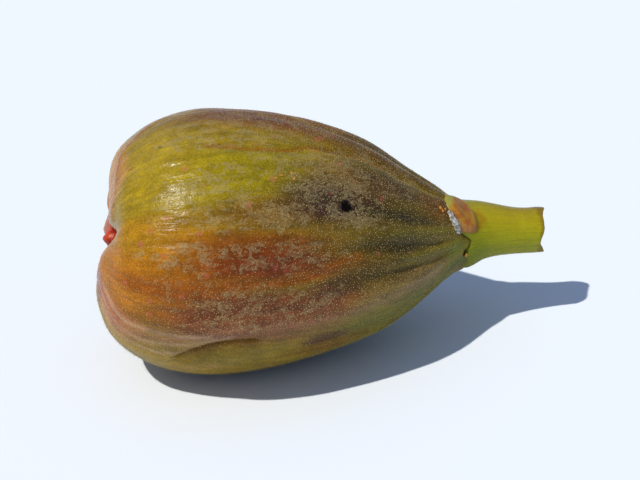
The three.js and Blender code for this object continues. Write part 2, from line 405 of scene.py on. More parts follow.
STREAK_END = [(48.5, 76), (51.5, 71.5), (55, 69)]
FOLD_LINE = [(26, 125), (28.3, 117), (30.7, 111), (34.8, 107), (38, 106)]
SWELLS = [
    ((83.5, -35), (5.5, 42), 0.62), ((86, 150), (3.5, 38), -0.25), ((81.4, 148), (1.7, 38), 0.7),
    ((92.9, -25), (0.9, 40), 0.2), ((31, -30), (5, 18), 0.36), ((8.5, 84), (3, 16), 0.35),
    ((22, 140), (5, 14), 0.35),
]
TEAR = [(77.6, 54), (78.8, 60), (80, 68), (80.6, 74), (80.4, 83), (79.9, 90), (79.7, 97)]
TEAR_MOUTH = [(79.8, 91), (79.7, 97)]
PIT = {"arc": 52.6, "depth": 0.3, "width": 3.2}


def local_swell(arc, angle):
    """Where the fig is thicker or thinner than its plain form: place, half size and height in mm."""
    return sum(
        high * bell(arc - at[0], half[0]) * bell(turn(angle, at[1]), half[1])
        for at, half, high in SWELLS
    )


def fine_relief(radius, angle, arc):
    chart = Chart(arc, angle)
    fruit = smooth(arc, 5, 12) * (1 - smooth(arc, 77, 80))
    veins = soft_noise(chart.streaks, 1.5, 3) * 0.6 + soft_noise(chart.streaks, 0.8, 5) * 0.4
    folds = 1 - np.abs(soft_noise(chart.streaks, 3.2, 11)) * 2
    lumps = rough_noise(chart.spots, 4.5, 21, 2)
    pit = bell(np.hypot(arc - PIT["arc"], np.radians(turn(angle, HOLE["at"])) * radius), PIT["width"])
    wrinkles = 1 - np.abs(soft_noise(chart.streaks, 1.5, 17)) * 2.4
    front = bell(turn(angle, 55), 60) * smooth(arc, 12, 20) * (1 - smooth(arc, 46, 60))
    height = fruit * (0.055 * veins + 0.05 * folds + 0.07 * lumps) - PIT["depth"] * pit * fruit
    height += fruit * front * 0.06 * wrinkles + local_swell(arc, angle)
    height += 0.07 * soft_noise(chart.spots, 1.1, 23) * smooth(arc, 80, 83) * bell(turn(angle, 150), 45)
    height += 0.16 * chart.line(SHOULDER_RIDGE, 0.7)
    height -= 0.28 * chart.line(TOP_LINE, 0.45) + 0.16 * chart.line(SIDE_LINE, 0.5)
    for knots in NECK_LINES:
        height -= 0.16 * chart.line(knots, 0.6)
    height -= 0.7 * chart.line(FOLD_LINE, 0.4)
    height -= 0.3 * chart.line(TEAR, 0.22) + 0.5 * chart.line(TEAR_MOUTH, 0.35)
    return height


print("pit round the hole:", PIT["depth"], "mm deep")

# %% [markdown]
# ## The skin
# One closed mesh carries the whole skin, from the pit of the eye to the cut of the stalk. Rings lie
# closer together where the form is finer. A subdivision surface over a coarse cage would also work, but
# a direct grid puts every vertex where the formula says, so small creases stay sharp.

# %% Build the skin as one closed mesh
RING_BANDS = [(0.2, 56), (0.62, 76), (0.8, 38), (0.9, 50), (0.997, 21), (1, 3)]
COLUMNS = 400


def ring_shares():
    shares, low = [], 0
    for high, rings in RING_BANDS:
        shares += [low + (high - low) * i / rings for i in range(1, rings + 1)]
        low = high
    return np.array(shares)


def closed_tube(rows, first, last):
    """Faces and points of rings of points, closed by a pole at both ends."""
    count, columns = rows.shape[:2]
    points = np.concatenate([first[None], rows.reshape(-1, 3), last[None]])
    at = 1 + np.arange(count * columns).reshape(count, columns)
    nxt = np.roll(at, -1, axis=1)
    quads = np.stack([at[:-1], nxt[:-1], nxt[1:], at[1:]], axis=-1).reshape(-1, 4)
    faces = quads.tolist()
    faces += [(0, b, a) for a, b in zip(at[0], nxt[0])]
    faces += [(a, b, len(points) - 1) for a, b in zip(at[-1], nxt[-1])]
    return points, faces


def new_piece(name, points_mm, faces):
    mesh = bpy.data.meshes.new(name)
    mesh.from_pydata((np.asarray(points_mm) * MM).tolist(), [], faces)
    mesh.validate()
    mesh.shade_smooth()
    piece = bpy.data.objects.new(name, mesh)
    bpy.context.collection.objects.link(piece)
    return piece


def cut_edge(angle):
    """How far the rim of the cut stands out, in mm: the knife slipped below the front."""
    out = 0.45 + 1.1 * bell(turn(angle, -22), 26) + 0.75 * bell(turn(angle, 140), 22)
    slip = 0.6 * bell(turn(angle, 90), 20)
    a = np.radians(angle)
    teeth = soft_noise(np.stack([np.cos(a), np.sin(a), 0 * angle], -1) * 4, 1, 91)
    return out - slip + 0.08 * teeth


END_ALONG, END_RADIUS = (float(v) for v in OUTLINE_POINTS[-1])
shares = ring_shares()
form = grid(shares, COLUMNS, fine_relief)
columns = 360 * np.arange(COLUMNS) / COLUMNS
form[..., 0] += smooth(shares * ARC[-1], ARC[-1] - 3, ARC[-1])[:, None] * cut_edge(columns)
rows = laid(form)
eye_pole = rows[0].mean(axis=0)
cut_pole = laid(from_axis(np.array([END_ALONG - 0.5]), np.zeros(1), np.zeros(1)))[0]
skin = new_piece("skin", *closed_tube(rows, eye_pole, cut_pole))
print("skin has", len(skin.data.polygons), "faces")

# %% [markdown]
# ## The insect hole
# An insect bored a round hole into the upper side. A drill with an uneven edge cuts it out of the skin,
# which leaves a real rim and a deep inside that is later given painted shade, near black and darker with
# depth. Painting a black dot would be quicker, but it would look flat as soon as the fig is turned.

# %% Drill the hole with a boolean
def surface_at(arc, angle, out=0.0):
    """Points out mm above the smooth form, laid down. arc and angle are arrays."""
    over = out + local_swell(np.asarray(arc), np.asarray(angle))
    return laid(skin_point(np.asarray(arc) / ARC[-1], np.asarray(angle), lambda *_: over))


def drill(arc, angle, radius, depth, sides=28):
    mouth, floor = (surface_at([arc], [angle], out)[0] for out in (1.2, -depth))
    way = (mouth - floor) / np.linalg.norm(mouth - floor)
    side = np.cross(way, (0, 0, 1))
    side /= np.linalg.norm(side)
    other = np.cross(way, side)
    turns = np.linspace(0, 2 * math.pi, sides, endpoint=False)
    uneven = 1 + 0.07 * np.sin(3 * turns + 1) + 0.05 * np.sin(5 * turns)
    rim = radius * uneven[:, None] * (np.cos(turns)[:, None] * side + np.sin(turns)[:, None] * other)
    steps = [(0, 1.08), (0.3, 1.04), (0.42, 1), (0.7, 0.97), (0.9, 0.8), (0.98, 0.45)]
    rows = np.stack([mouth + (floor - mouth) * t + rim * wide for t, wide in steps])
    return closed_tube(rows, mouth, floor)


HOLE_ARC = float(np.interp(HOLE["along"], OUTLINE_POINTS[:, 0], ARC))
cutter = new_piece("drill", *drill(HOLE_ARC, HOLE["at"], HOLE["radius"], HOLE["deep"]))
cut = skin.modifiers.new("hole", "BOOLEAN")
cut.object, cut.operation, cut.solver = cutter, "DIFFERENCE", "MANIFOLD"
drilled = bpy.data.meshes.new_from_object(skin.evaluated_get(bpy.context.evaluated_depsgraph_get()))
skin.modifiers.clear()
skin.data = drilled
skin.data.shade_smooth()
bpy.data.objects.remove(cutter)
print("skin has", len(skin.data.polygons), "faces with its hole at arc", round(HOLE_ARC, 1))

# %% [markdown]
# ## The colours of the skin
# A ripening fig colours in patches: yellow-green where it is still young, orange and rust where sugar
# has come in, purple-brown where it was bruised, olive towards the neck. Each patch is an oval on the
# chart with a broken edge. The colours could be brushed on by hand, but a list can be read, moved and
# tuned.

# %% The pigments
def pigment(red, green, blue):
    """A colour as a screen shows it, 0 to 255, as the shader needs it."""
    c = np.array([red, green, blue]) / 255
    return np.where(c <= 0.04045, c / 12.92, ((c + 0.055) / 1.055) ** 2.4)


PIGMENTS = {
    "olive": pigment(140, 113, 20), "yellow": pigment(140, 122, 4), "gold": pigment(158, 124, 22),
    "orange": pigment(168, 103, 6), "amber": pigment(136, 70, 6), "rust": pigment(112, 43, 10),
    "brown": pigment(106, 63, 16), "crown": pigment(118, 70, 10), "mauve": pigment(106, 54, 28),
    "plum": pigment(76, 42, 32), "bruise": pigment(54, 34, 32), "neck": pigment(85, 66, 15),
    # The pigment named shade is painted shade, laid along the creases of the neck.
    "shade": pigment(44, 36, 15), "moss": pigment(112, 99, 22), "leaf": pigment(94, 94, 24),
    "meadow": pigment(126, 102, 16), "peach": pigment(174, 122, 62), "pink": pigment(164, 96, 62),
    "pale_and_highlight": pigment(150, 100, 68), "wine": pigment(104, 18, 14), "stalk": pigment(162, 143, 18),
    "lime": pigment(148, 147, 20), "sprout": pigment(112, 118, 12), "straw": pigment(176, 158, 80),
    # The near-black pigment is one real dark speck, and painted shade in the hole, the fold and the tear.
    "blood": pigment(150, 52, 40), "speck_and_shade_black": pigment(16, 12, 10), "lilac": pigment(136, 74, 66),
    "shell_and_sheen": pigment(196, 158, 128), "ember": pigment(142, 66, 8),
    "sage": pigment(122, 108, 60), "sun": pigment(160, 134, 28),
}
print(len(PIGMENTS), "pigments")

# %% The patches: pigment, place (arc, angle), half size (arc, angle), amount, softness of the edge
PATCHES = [
    ("yellow", (33, 32), (15, 14), 0.85, 0.7), ("yellow", (45, 24), (7, 7), 0.6, 0.5),
    ("gold", (21, 30), (9, 16), 0.4, 0.7), ("olive", (22, -6), (9, 12), 0.5, 0.6),
    ("sun", (20, 12), (10, 12), 0.6, 0.6),
    ("crown", (46, -9), (16, 16), 0.95, 0.4), ("rust", (43, -2), (7, 5), 0.5, 0.7),
    ("brown", (38, -6), (8, 6), 0.6, 0.6),
    ("orange", (20, 70), (18, 18), 0.9, 0.5), ("orange", (15, 90), (13, 17), 1, 0.5),
    ("gold", (19, 60), (7, 6), 0.5, 0.8),
    ("amber", (24, 82), (10, 6), 0.9, 0.6), ("brown", (42, 49), (12, 7), 0.75, 0.6),
    ("rust", (38, 62), (13, 5), 0.75, 0.7), ("rust", (40, 71), (14, 7), 0.95, 0.6),
    ("amber", (52, 74), (9, 5), 0.6, 0.6), ("mauve", (40, 90), (18, 9), 0.95, 0.5),
    ("mauve", (33, 96), (9, 8), 0.9, 0.5),
    ("mauve", (42, 70), (8, 3.5), 0.6, 0.6), ("brown", (22, 104), (6, 5), 0.6, 0.7),
    ("plum", (52, 83), (5, 5), 0.8, 0.5), ("amber", (54.5, 89), (2.6, 2.2), 0.5, 0.7),
    ("neck", (67, 24), (14, 48), 0.9, 0.4), ("neck", (66, 74), (14, 26), 0.8, 0.4),
    ("gold", (64, 12), (12, 5), 0.3, 0.7), ("brown", (56, 1), (14, 9), 0.5, 0.6),
    ("olive", (74, 60), (6, 26), 0.35, 0.7),
    ("moss", (71, 57), (9, 5), 0.8, 0.7), ("moss", (72, 74), (8, 6), 0.8, 0.7),
    # The shade patches here and below lie along creases of the neck: painted shade.
    ("shade", (63, 66), (8, 3), 0.7, 0.8), ("shade", (61, 82), (7, 3), 0.4, 0.8),
    ("leaf", (68, 112), (19, 20), 1, 0.4), ("meadow", (40, 122), (20, 12), 0.95, 0.4),
    ("moss", (66, 128), (14, 14), 0.5, 0.7), ("peach", (15, 124), (6, 12), 0.85, 0.7),
    ("orange", (10, 92), (4, 10), 0.8, 0.6),
    ("gold", (26, 131), (8, 8), 0.7, 0.7), ("mauve", (44, 104), (10, 5), 0.6, 0.7),
    ("moss", (58, 104), (10, 6), 0.5, 0.7), ("plum", (50, 113), (4, 4.5), 0.85, 0.5),
    ("brown", (51, 122), (6, 5), 0.6, 0.6),
    ("pink", (12, 112), (7, 11), 0.9, 0.5), ("lilac", (8, 108), (3, 22), 0.8, 0.6),
    ("peach", (9, 4), (7, 26), 0.95, 0.3), ("peach", (13, -24), (5, 14), 0.8, 0.5),
    ("bruise", (51, 42), (8, 12), 0.9, 0.6), ("shade", (65, 46), (10, 3.5), 0.8, 0.7),
    ("plum", (62, 28), (6, 6), 0.5, 0.7), ("brown", (73, 30), (4, 12), 0.7, 0.6),
    ("olive", (13, 40), (5, 7), 0.5, 0.5), ("brown", (51, 27), (5, 7), 0.5, 0.7),
    ("sprout", (77, 82), (3, 14), 0.7, 0.6), ("plum", (58, 37), (4, 6), 0.4, 0.7),
    ("shade", (67, 60), (5, 4), 0.4, 0.7),
]
UNSEEN_PATCHES = [
    ("meadow", (40, 180), (26, 40), 0.9, 0.5), ("leaf", (66, 190), (16, 50), 0.9, 0.4),
    ("yellow", (30, 230), (14, 14), 0.7, 0.7), ("orange", (24, 262), (15, 16), 0.8, 0.6),
    ("rust", (40, 268), (13, 9), 0.7, 0.7), ("mauve", (36, 288), (15, 9), 0.8, 0.6),
    ("neck", (66, 280), (14, 60), 0.8, 0.4), ("crown", (40, 325), (16, 16), 0.7, 0.6),
    # The shade patch here lies along a crease of the neck: painted shade.
    ("moss", (70, 240), (9, 6), 0.7, 0.7), ("shade", (64, 254), (8, 3), 0.8, 0.8),
    ("pink", (12, 175), (7, 18), 0.8, 0.5), ("orange", (15, 215), (10, 12), 0.7, 0.6),
    ("peach", (12, 285), (6, 14), 0.7, 0.5), ("plum", (45, 208), (6, 6), 0.6, 0.6),
]
print(len(PATCHES) + len(UNSEEN_PATCHES), "patches")

# %% Lay the patches over each other
def glaze(colour, over, amount):
    return colour + (over - colour) * np.clip(amount, 0, 1)[..., None]


def oval(chart, edges, at, half, soft):
    """1 inside an oval on the chart and 0 outside, with a soft and broken edge."""
    u = (chart.arc - at[0]) / half[0]
    v = turn(chart.angle, at[1]) / half[1]
    return 1 - smooth(np.hypot(u, v) + 0.35 * edges, 1 - soft, 1 + soft)


def patched(chart):
    edges = [rough_noise(chart.streaks, 5, seed) for seed in range(5)]
    colour = np.broadcast_to(PIGMENTS["olive"], chart.arc.shape + (3,)).copy()
    for k, (name, at, half, amount, soft) in enumerate(PATCHES + UNSEEN_PATCHES):
        colour = glaze(colour, PIGMENTS[name], amount * oval(chart, edges[k % 5], at, half, soft))
    return colour


# %% Lines, the eye and the stalk
def stalk_colour(chart):
    """Yellow where the sun reaches it, green below, greenest next to the neck."""
    low = bell(turn(chart.angle, 105), 55)
    streaks = 0.25 * soft_noise(chart.streaks, 1.2, 31)
    colour = glaze(np.broadcast_to(PIGMENTS["stalk"], low.shape + (3,)), PIGMENTS["lime"], low + streaks)
    amount = 0.9 * bell(chart.arc - 81, 4) * (1 - bell(turn(chart.angle, 20), 40))
    return glaze(colour, PIGMENTS["sprout"], amount)


def stalk_edge(angle):
    """The arc where the skin gives way to the stalk. It follows the tear in the front."""
    turned = [0, 40, 54, 60, 68, 74, 83, 90, 97, 117, 150, 360]
    arcs = [79.9, 77.4, 77.8, 78.8, 80, 80.6, 80.4, 79.9, 79.7, 80.5, 79.9, 79.9]
    return np.interp(angle % 360, turned, arcs)


def painted(chart):
    arc, angle = chart.arc, chart.angle
    colour = patched(chart)
    # The pale rib line is partly the rib's own paler skin and partly a painted highlight along its crest.
    amount = 0.35 * chart.line(RIB_LINE, 2.2) + 0.5 * chart.line(RIB_LINE, 0.45)
    colour = glaze(colour, PIGMENTS["pale_and_highlight"], amount)
    colour = glaze(colour, PIGMENTS["sage"], 0.6 * chart.line(RIB_LINE[5:], 1.6))
    colour = glaze(colour, PIGMENTS["ember"], 0.75 * chart.line(ORANGE_STREAK, 0.6))
    colour = glaze(colour, PIGMENTS["amber"], 0.5 * chart.line(STREAK_END, 0.7))
    # A pale line along the shoulder ridge: painted highlight on its crest.
    colour = glaze(colour, PIGMENTS["pale_and_highlight"], 0.8 * chart.line(SHOULDER_RIDGE, 0.8))
    # Pale streaks on the lower lobe: partly their own pale colour, partly painted sheen.
    for knots in PALE_STREAKS_AND_SHEEN:
        colour = glaze(colour, PIGMENTS["shell_and_sheen"], 0.4 * chart.line(knots, 0.5))
    colour = glaze(colour, PIGMENTS["gold"], 0.7 * chart.line([(17, 131), (23, 128), (28, 122)], 0.9))
    colour = glaze(colour, PIGMENTS["amber"], 0.7 * chart.line(TOP_LINE, 0.35))
    # Painted shade along the fold: a near-black line in its crease and a wider brown band along it.
    colour = glaze(colour, PIGMENTS["speck_and_shade_black"], 0.6 * chart.line(FOLD_LINE, 0.5))
    colour = glaze(colour, PIGMENTS["crown"], 0.7 * chart.line([(27, 119), (32, 109), (38, 106)], 1.6))
    behind = 4 * bell(turn(angle, 265), 75)
    eye = 1 - smooth(arc + 0.6 * soft_noise(chart.spots, 2, 41) - behind, 4.5, 8.5)
    colour = glaze(colour, PIGMENTS["pink"], eye)
    colour = glaze(colour, PIGMENTS["blood"], 1 - smooth(arc, 2.5, 6))
    colour = glaze(colour, PIGMENTS["wine"], 1 - smooth(arc, 1.5, 4))
    stalk = smooth(arc - stalk_edge(angle), -0.4, 0.5)
    colour += (stalk_colour(chart) - colour) * stalk[..., None]
    colour = glaze(colour, PIGMENTS["brown"], 0.35 * bell(turn(angle, -22), 30) * smooth(arc, 83, 90))
    colour = glaze(colour, PIGMENTS["brown"], 0.5 * smooth(arc, 93.1, 93.4))
    colour = glaze(colour, PIGMENTS["amber"], 0.45 * chart.line([(82.2, 22), (82.8, 34), (82.1, 47)], 0.8))
    colour = glaze(colour, PIGMENTS["rust"], 0.9 * chart.line([(17.3, 15), (18.5, 15.6)], 0.16))
    colour = glaze(colour, PIGMENTS["speck_and_shade_black"], 0.7 * chart.line([(23.9, 12), (24.2, 12.4)], 0.25))
    colour = glaze(colour, PIGMENTS["plum"], 0.7 * chart.line([(41, -4), (43.5, -3)], 0.9))
    # Painted shade in the torn crack between neck and stalk: a near-black line, widest at its mouth.
    colour = glaze(colour, PIGMENTS["speck_and_shade_black"], 0.85 * chart.line(TEAR, 0.13))
    colour = glaze(colour, PIGMENTS["speck_and_shade_black"], 0.9 * chart.line(TEAR_MOUTH, 0.3))
    return colour


print("stalk from arc 80 to", round(float(ARC[-1]), 1))

# %% [markdown]
# ## Marks that the skin carries
# The mesh now has new vertices round the hole, so each vertex is asked where it lies on the chart. The
# colours and a few amounts are stored as attributes on the mesh: how scurfy the skin is, where freckles,
# pores and hairs grow, and a streak coordinate that has no seam. Painted textures would need a UV map
# and image files. Attributes stay with the mesh and need neither.

# %% Find each vertex's place on the chart
def chart_of(points):
    """The chart of points of the laid fig, in mm."""
    x, y, z = np.moveaxis(points + (MIDDLE[0], MIDDLE[1], DROP), -1, 0)
    c, s = math.cos(math.radians(DIP)), math.sin(math.radians(DIP))
    along, up = c * x - s * z, c * z + s * x
    share = np.maximum(0, (along - BEND["from"]) / (LENGTH - BEND["from"]))
    sag = NECK_SAG["deep"] * bell(along - NECK_SAG["at"], NECK_SAG["width"])
    front = -(y + BEND["front"] * share**2) / WIDER
    up = (up - BEND["up"] * share**1.3 + sag) / LOWER
    angle = np.degrees(np.arctan2(front, up)) - ROLLED
    radius = np.hypot(front, up)
    lean = EYE_LEAN["amount"] * np.cos(np.radians(angle - EYE_LEAN["lowest"]))
    along = along + lean * fade_out(along, EYE_LEAN["fades"]) * np.minimum(1, radius / EYE_LEAN["inner"])
    path, path_arc = OUTLINE_POINTS[::4], ARC[::4]
    nearest = np.concatenate([
        np.argmin((a[:, None] - path[:, 0]) ** 2 + (r[:, None] - path[:, 1]) ** 2, axis=1)
        for a, r in zip(np.array_split(along, 100), np.array_split(radius, 100))
    ])
    beyond = np.clip(path[-1, 1] - radius, 0, None) * (along > LENGTH - 0.7)
    return Chart(path_arc[nearest] + beyond, angle)


def points_of(piece):
    flat = np.empty(len(piece.data.vertices) * 3, dtype=np.float32)
    piece.data.vertices.foreach_get("co", flat)
    return flat.reshape(-1, 3).astype(float) / MM


places = points_of(skin)
chart = chart_of(places)
hole_axis = np.stack([surface_at([HOLE_ARC], [HOLE["at"]], out)[0] for out in (1, -3)])
axis_way = (hole_axis[1] - hole_axis[0]) / np.linalg.norm(hole_axis[1] - hole_axis[0])
from_axis_line = places - hole_axis[0]
depth_in = from_axis_line @ axis_way
aside = np.linalg.norm(from_axis_line - depth_in[:, None] * axis_way, axis=1)
in_hole = (aside < HOLE["radius"] * 1.16) & (depth_in > 1.0) & (depth_in < 5)
print(int(in_hole.sum()), "vertices inside the hole")

# %% Store the marks on the mesh
def store(piece, name, values, kind="FLOAT"):
    attribute = piece.data.attributes.new(name, kind, "POINT")
    key = {"FLOAT": "value", "FLOAT_VECTOR": "vector", "FLOAT_COLOR": "color"}[kind]
    if kind == "FLOAT_COLOR":
        values = np.concatenate([values, np.ones((len(values), 1))], axis=1)
    attribute.data.foreach_set(key, np.asarray(values, dtype=np.float32).ravel())


SCURF = [
    ((34, 8), (13, 13), 0.7), ((51, 34), (9, 18), 0.9), ((37, 50), (12, 9), 0.75), ((40, 66), (13, 8), 0.65),
    ((44, -6), (16, 13), 0.6), ((38, 88), (16, 11), 0.65), ((62, 10), (13, 7), 0.7), ((54, 48), (7, 9), 0.8),
    ((27, 66), (9, 9), 0.65), ((45, 26), (8, 9), 0.75), ((30, 99), (9, 3), 0.35), ((60, 28), (10, 12), 0.5),
    ((33, 36), (8, 9), 0.6), ((22, 22), (7, 8), 0.4), ((26, 78), (9, 6), 0.4),
    ((44, 230), (12, 25), 0.6), ((40, 300), (12, 25), 0.6),
]


def scurf_of(chart):
    edges = rough_noise(chart.spots, 6, 51)
    amounts = [amount * oval(chart, edges, at, half, 0.6) for at, half, amount in SCURF]
    return np.max(amounts, axis=0) * (1 - smooth(chart.arc, 74, 78))


fruit = smooth(chart.arc, 7, 12) * (1 - smooth(chart.arc, 76, 79.5))
neckward = smooth(chart.arc, 40, 58)
low = bell(turn(chart.angle, 150), 50)
paint = painted(chart)
# The inside of the hole is painted shade: near black, and darker the deeper it lies.
paint[in_hole] = PIGMENTS["speck_and_shade_black"] * np.clip(2.2 - 1.4 * (depth_in[in_hole] - 1.2), 0.15, 2.2)[:, None]
store(skin, "paint", paint, "FLOAT_COLOR")
store(skin, "streaks", chart.streaks, "FLOAT_VECTOR")
store(skin, "scurf", scurf_of(chart) * ~in_hole)
store(skin, "freckles", fruit * (0.3 + 0.7 * smooth(soft_noise(chart.spots, 12, 61), -0.3, 0.5)) * ~in_hole)
store(skin, "fruit", fruit * ~in_hole)
round_angle = chart.angle % 360
low_side = smooth(round_angle, 50, 95) * (round_angle < 250)
pored = 0.3 + 0.7 * np.maximum(smooth(chart.arc, 30, 52), low_side)
store(skin, "pore_density", fruit * pored * ~in_hole)
store(skin, "fuzz_density", fruit * (0.04 + 0.96 * np.maximum(0.4 * neckward, low)) * ~in_hole)
print("attributes:", [a.name for a in skin.data.attributes if not a.name.startswith((".", "position"))])

# %% [markdown]
# ## The skin's finish
# The shader lays small things over the painted patches: fibres that run lengthwise, a net of grey scurf
# where the skin rubbed on leaves, pink freckles and a fine grain. The same nets drive the bump, so that a
# flake of scurf also catches the light. Gloss is that of a thin waxy skin, duller where there is scurf.

# %% Helpers for node trees
def add_node(tree, kind, inputs=None, **settings):
    node = tree.nodes.new(kind)
    for name, value in settings.items():
        setattr(node, name, value)
    for name, value in (inputs or {}).items():
        if isinstance(value, bpy.types.NodeSocket):
            tree.links.new(value, node.inputs[name])
        else:
            node.inputs[name].default_value = value
    return node


def attribute_socket(tree, name, output="Fac"):
    return add_node(tree, "ShaderNodeAttribute", attribute_name=name).outputs[output]


def math_socket(tree, operation, a, b=0.0):
    return add_node(tree, "ShaderNodeMath", {0: a, 1: b}, operation=operation).outputs[0]


def map_socket(tree, value, low, high, to_low=0.0, to_high=1.0, kind="SMOOTHSTEP"):
    inputs = {"Value": value, "From Min": low, "From Max": high, "To Min": to_low, "To Max": to_high}
    return add_node(tree, "ShaderNodeMapRange", inputs, interpolation_type=kind).outputs[0]


def noise_socket(tree, where, size, detail=2.0, unit=MM, seed=0.0, rough=0.5):
    inputs = {"Vector": where, "W": seed, "Scale": 1 / (size * unit), "Detail": detail, "Roughness": rough}
    return add_node(tree, "ShaderNodeTexNoise", inputs, noise_dimensions="4D").outputs["Fac"]


def mix_socket(tree, amount, under, over, blend="MIX"):
    inputs = {0: amount, 6: under, 7: over}
    return add_node(tree, "ShaderNodeMix", inputs, data_type="RGBA", blend_type=blend).outputs[2]


def new_finish(name):
    finish = bpy.data.materials.new(name)
    finish.use_nodes = True
    return finish, finish.node_tree, finish.node_tree.nodes["Principled BSDF"]


def rgba(colour):
    return (*[float(v) for v in colour], 1.0)


print("shader helpers ready")

# %% Fibres, scurf and freckles in the skin's colour
finish, tree, shader = new_finish("skin")
where = add_node(tree, "ShaderNodeTexCoord").outputs["Object"]
streaks = attribute_socket(tree, "streaks", "Vector")
paint_colour = attribute_socket(tree, "paint", "Color")
fruit_mask = attribute_socket(tree, "fruit")

fibres = noise_socket(tree, streaks, 0.9, 3, 1)
blotches = noise_socket(tree, where, 2.2, 4)
light = map_socket(tree, fibres, 0.3, 0.7, 0.82, 1.16)
light = math_socket(tree, "MULTIPLY", light, map_socket(tree, blotches, 0.3, 0.7, 0.86, 1.12))
grit = noise_socket(tree, where, 0.26, 2, seed=8)
light = math_socket(tree, "MULTIPLY", light, map_socket(tree, grit, 0.3, 0.7, 0.8, 1.2))
light = math_socket(tree, "SUBTRACT", light, 1)
mottled = math_socket(tree, "MAXIMUM", fruit_mask, 0.35)
light = math_socket(tree, "ADD", math_socket(tree, "MULTIPLY", light, mottled), 1)
shade_of_light = add_node(tree, "ShaderNodeCombineColor", {0: light, 1: light, 2: light}).outputs[0]
colour = mix_socket(tree, 1.0, paint_colour, shade_of_light, "MULTIPLY")

stretched = add_node(tree, "ShaderNodeMapping", {"Vector": where, "Scale": (0.62, 1, 1)}).outputs[0]
worms = noise_socket(tree, stretched, 0.46, 2, seed=3)
worm_lines = math_socket(tree, "ABSOLUTE", math_socket(tree, "SUBTRACT", worms, 0.5))
flakes = noise_socket(tree, stretched, 1.6, 8, seed=5, rough=0.66)
level = math_socket(tree, "MULTIPLY_ADD", attribute_socket(tree, "scurf"), 0.27)
level.node.inputs[2].default_value = -0.665
level = math_socket(tree, "ADD", level, flakes)
holes = math_socket(tree, "MULTIPLY", math_socket(tree, "SUBTRACT", worms, 0.5), 0.55)
level = math_socket(tree, "ADD", level, holes)
film = map_socket(tree, level, 0, 0.025)
scurf = math_socket(tree, "MULTIPLY", film, map_socket(tree, worm_lines, 0.02, 0.07, 0.82, 0.24))
greys = noise_socket(tree, where, 1.0, 2, seed=6)
scurf_tone = mix_socket(tree, greys, rgba(pigment(160, 126, 74)), rgba(pigment(150, 142, 104)))
scurf_tone = mix_socket(tree, 0.68, colour, scurf_tone)
colour = mix_socket(tree, scurf, colour, scurf_tone)

wander = add_node(tree, "ShaderNodeTexNoise", {"Vector": where, "Scale": 1 / (0.7 * MM)}).outputs["Color"]
wander = add_node(tree, "ShaderNodeVectorMath", {0: wander, "Scale": 0.6 * MM}, operation="SCALE").outputs[0]
wandered = add_node(tree, "ShaderNodeVectorMath", {0: where, 1: wander}, operation="ADD").outputs[0]
for cell, strength in ((0.36, 0.65), (0.5, 0.85)):
    pin = add_node(tree, "ShaderNodeTexVoronoi", {"Vector": where, "Scale": 1 / (cell * MM)})
    pins = map_socket(tree, pin.outputs["Distance"], 0.08, 0.22, strength, 0)
    pins = math_socket(tree, "MULTIPLY", pins, map_socket(tree, pin.outputs["Color"], 0.2, 0.8))
    pins = math_socket(tree, "MULTIPLY", pins, attribute_socket(tree, "pore_density"))
    colour = mix_socket(tree, pins, colour, rgba(pigment(206, 182, 122)))
dots = add_node(tree, "ShaderNodeTexVoronoi", {"Vector": wandered, "Scale": 1 / (2.6 * MM)})
chosen = map_socket(tree, dots.outputs["Color"], 0.54, 0.6)
spot = math_socket(tree, "MULTIPLY", map_socket(tree, dots.outputs["Distance"], 0.06, 0.27, 1, 0), chosen)
spot = math_socket(tree, "MULTIPLY", spot, attribute_socket(tree, "freckles"))
colour = mix_socket(tree, math_socket(tree, "MULTIPLY", spot, 0.55), colour, rgba(pigment(176, 84, 72)))
tree.links.new(colour, shader.inputs["Base Color"])
print("skin colour uses", len(tree.nodes), "nodes")

# %% Gloss and grain of the skin
grain = noise_socket(tree, where, 0.45, 3, seed=9)
fine_fibres = noise_socket(tree, streaks, 0.45, 2, 1, seed=4)
height = math_socket(tree, "MULTIPLY", grain, 0.06)
height = math_socket(tree, "ADD", height, math_socket(tree, "MULTIPLY", fine_fibres, 0.05))
ripples = noise_socket(tree, streaks, 0.8, 3, 1, seed=12)
pebbles = noise_socket(tree, where, 1.1, 3, seed=14)
height = math_socket(tree, "ADD", height, math_socket(tree, "MULTIPLY", ripples, 0.22))
height = math_socket(tree, "ADD", height, math_socket(tree, "MULTIPLY", pebbles, 0.12))
height = math_socket(tree, "ADD", height, math_socket(tree, "MULTIPLY", scurf, 0.03))
bump = add_node(tree, "ShaderNodeBump", {"Height": height, "Strength": 0.9, "Distance": MM})
tree.links.new(bump.outputs["Normal"], shader.inputs["Normal"])
rough = map_socket(tree, grain, 0.3, 0.7, 0.14, 0.28)
rough = math_socket(tree, "ADD", rough, math_socket(tree, "MULTIPLY", scurf, 0.25))
dull = math_socket(tree, "MULTIPLY", attribute_socket(tree, "pore_density"), 0.2)
rough = math_socket(tree, "ADD", rough, dull)
tree.links.new(rough, shader.inputs["Roughness"])
shader.inputs["IOR"].default_value = 1.42
shader.inputs["Specular IOR Level"].default_value = 0.2
bore_finish, bore_tree, bore_shader = new_finish("bore")
bore_paint = attribute_socket(bore_tree, "paint", "Color")
bore_tree.links.new(bore_paint, bore_shader.inputs["Base Color"])
bore_shader.inputs["Roughness"].default_value = 1.0
bore_shader.inputs["Specular IOR Level"].default_value = 0.0
skin.data.materials.clear()
skin.data.materials.append(finish)
skin.data.materials.append(bore_finish)
for polygon in skin.data.polygons:
    polygon.material_index = int(all(in_hole[i] for i in polygon.vertices))
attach(skin, "root")
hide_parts("fig")
print("skin finish has", len(tree.nodes), "nodes")

